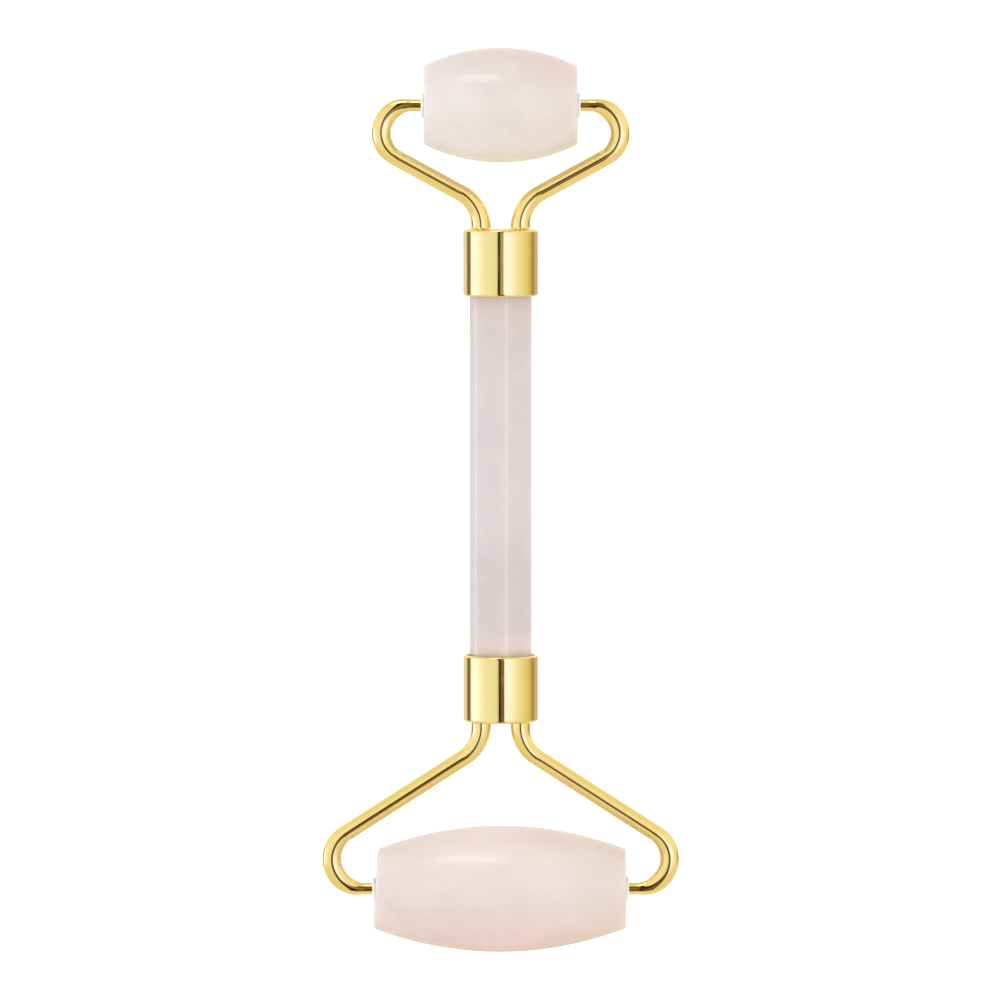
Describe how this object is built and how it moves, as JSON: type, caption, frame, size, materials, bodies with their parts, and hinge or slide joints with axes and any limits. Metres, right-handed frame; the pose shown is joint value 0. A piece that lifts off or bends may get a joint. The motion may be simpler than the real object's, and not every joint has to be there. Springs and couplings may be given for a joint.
{
  "type": "face roller",
  "caption": "Face massage roller: a hexagonal rose quartz handle with a barrel-shaped stone roller spinning in a gold-plated wire fork at each end, small above and large below.",
  "frame": {"origin": "on the axis of the handle, in the middle of the whole length", "axes": "+Z along the handle towards the small roller, +X along the axes of both rollers, +Y away from the front"},
  "size_m": [0.0574, 0.0204, 0.1452],
  "materials": {
    "handle_quartz": "polished",
    "small_roller_quartz": "polished",
    "large_roller_quartz": "polished",
    "gold_plating": "polished",
    "white_nylon": "satin",
    "clear_epoxy": "gloss"
  },
  "bodies": {
    "frame": {"handle_stone": "handle_quartz", "ferrule_upper": "gold_plating", "ferrule_lower": "gold_plating", "adhesive_upper": "clear_epoxy", "adhesive_lower": "clear_epoxy", "arm_upper_left": "gold_plating", "arm_upper_right": "gold_plating", "arm_lower_left": "gold_plating", "arm_lower_right": "gold_plating"},
    "small_roller": {"small_roller_stone": "small_roller_quartz", "small_bush_left": "white_nylon", "small_bush_right": "white_nylon"},
    "large_roller": {"large_roller_stone": "large_roller_quartz", "large_bush_left": "white_nylon", "large_bush_right": "white_nylon"}
  },
  "joints": [
    {"name": "small_roller_spin", "type": "hinge", "parent": "frame", "child": "small_roller", "pos_m": [0, 0, 0.06338], "axis": [1, 0, 0], "continuous": true},
    {"name": "large_roller_spin", "type": "hinge", "parent": "frame", "child": "large_roller", "pos_m": [0, 0, -0.06241], "axis": [1, 0, 0], "continuous": true}
  ]
}
